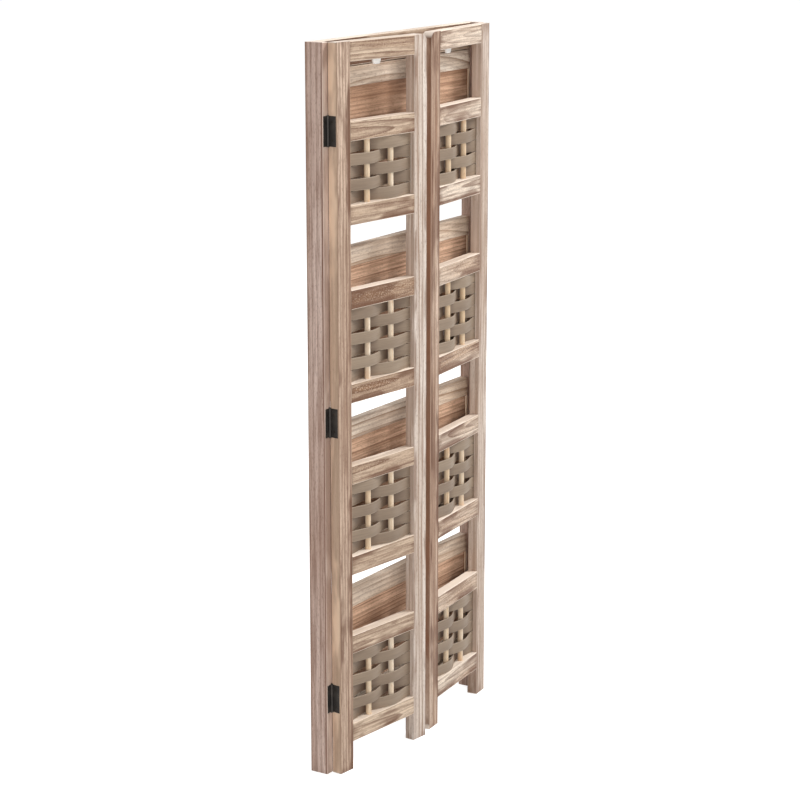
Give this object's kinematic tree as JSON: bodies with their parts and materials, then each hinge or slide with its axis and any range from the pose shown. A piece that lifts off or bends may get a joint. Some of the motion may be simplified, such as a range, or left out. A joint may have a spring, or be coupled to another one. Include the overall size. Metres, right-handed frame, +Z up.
{
  "type": "folding shelf screen",
  "caption": "Folding wooden shelf screen: a wide back frame with drop shelves stowed upright in it and hinged wings with woven panels that close over it like doors.",
  "frame": {"origin": "middle of the footprint of the folded object, on the floor", "axes": "+Z up, -Y towards the front where the wings are, +X to the right seen from the front"},
  "size_m": [0.52, 0.082, 1.25],
  "materials": {
    "post_wood": "brushed, lightly torched, matt",
    "rail_wood": "brushed, lightly torched, matt",
    "shelf_rail_wood": "brushed, lightly torched, matt",
    "shelf_board_wood": "torched brown, matt",
    "weave_wood": "grey-brown veneer strip, matt",
    "dowel_wood": "plain sanded",
    "hinge_metal": "dark bronze, satin",
    "pin_metal": "dark bronze, satin",
    "pad_plastic": "matt"
  },
  "bodies": {
    "back_frame": {"back_rail_1": "rail_wood", "back_rail_2": "rail_wood", "back_rail_3": "rail_wood", "back_rail_4": "rail_wood", "back_top_rail": "rail_wood", "left_post": "post_wood", "post_leaves": "hinge_metal", "post_screws": "pin_metal", "right_post": "post_wood", "shelf_hinge_leaves": "hinge_metal", "shelf_hinge_pins": "pin_metal", "wing_hinge_pins": "pin_metal"},
    "left_wing": {"left_bearers": "rail_wood", "left_dowels": "dowel_wood", "left_free_stile": "post_wood", "left_hinge_stile": "post_wood", "left_lower_rails": "rail_wood", "left_pad": "pad_plastic", "left_top_rail": "rail_wood", "left_upper_rails": "rail_wood", "left_weave_1": "weave_wood", "left_weave_2": "weave_wood", "left_weave_3": "weave_wood", "left_weave_4": "weave_wood", "left_wing_leaves": "hinge_metal", "left_wing_screws": "pin_metal"},
    "right_wing": {"right_bearers": "rail_wood", "right_dowels": "dowel_wood", "right_free_stile": "post_wood", "right_hinge_stile": "post_wood", "right_lower_rails": "rail_wood", "right_pad": "pad_plastic", "right_top_rail": "rail_wood", "right_upper_rails": "rail_wood", "right_weave_1": "weave_wood", "right_weave_2": "weave_wood", "right_weave_3": "weave_wood", "right_weave_4": "weave_wood", "right_wing_leaves": "hinge_metal", "right_wing_screws": "pin_metal"},
    "shelf_1": {"shelf_1_back_rail": "shelf_rail_wood", "shelf_1_board": "shelf_board_wood", "shelf_1_end_rails": "shelf_rail_wood", "shelf_1_front_rail": "shelf_rail_wood", "shelf_1_leaves": "hinge_metal"},
    "shelf_2": {"shelf_2_back_rail": "shelf_rail_wood", "shelf_2_board": "shelf_board_wood", "shelf_2_end_rails": "shelf_rail_wood", "shelf_2_front_rail": "shelf_rail_wood", "shelf_2_leaves": "hinge_metal"},
    "shelf_3": {"shelf_3_back_rail": "shelf_rail_wood", "shelf_3_board": "shelf_board_wood", "shelf_3_end_rails": "shelf_rail_wood", "shelf_3_front_rail": "shelf_rail_wood", "shelf_3_leaves": "hinge_metal"},
    "shelf_4": {"shelf_4_back_rail": "shelf_rail_wood", "shelf_4_board": "shelf_board_wood", "shelf_4_end_rails": "shelf_rail_wood", "shelf_4_front_rail": "shelf_rail_wood", "shelf_4_leaves": "hinge_metal"}
  },
  "joints": [
    {"name": "left_wing_hinge", "type": "hinge", "parent": "back_frame", "child": "left_wing", "pos_m": [-0.2459, 0.00649, 0.621], "axis": [0, 0, -1], "range_deg": [-7, 83]},
    {"name": "right_wing_hinge", "type": "hinge", "parent": "back_frame", "child": "right_wing", "pos_m": [0.2459, 0.00649, 0.621], "axis": [0, 0, 1], "range_deg": [-5.2, 84.8]},
    {"name": "shelf_1_hinge", "type": "hinge", "parent": "back_frame", "child": "shelf_1", "pos_m": [0, 0.02168, 0.98315], "axis": [1, 0, 0], "range_deg": [0, 3.5]},
    {"name": "shelf_2_hinge", "type": "hinge", "parent": "back_frame", "child": "shelf_2", "pos_m": [0, 0.02168, 0.68315], "axis": [1, 0, 0], "range_deg": [0, 3.5]},
    {"name": "shelf_3_hinge", "type": "hinge", "parent": "back_frame", "child": "shelf_3", "pos_m": [0, 0.02168, 0.38315], "axis": [1, 0, 0], "range_deg": [0, 3.5]},
    {"name": "shelf_4_hinge", "type": "hinge", "parent": "back_frame", "child": "shelf_4", "pos_m": [0, 0.02168, 0.08315], "axis": [1, 0, 0], "range_deg": [0, 3.5]}
  ]
}
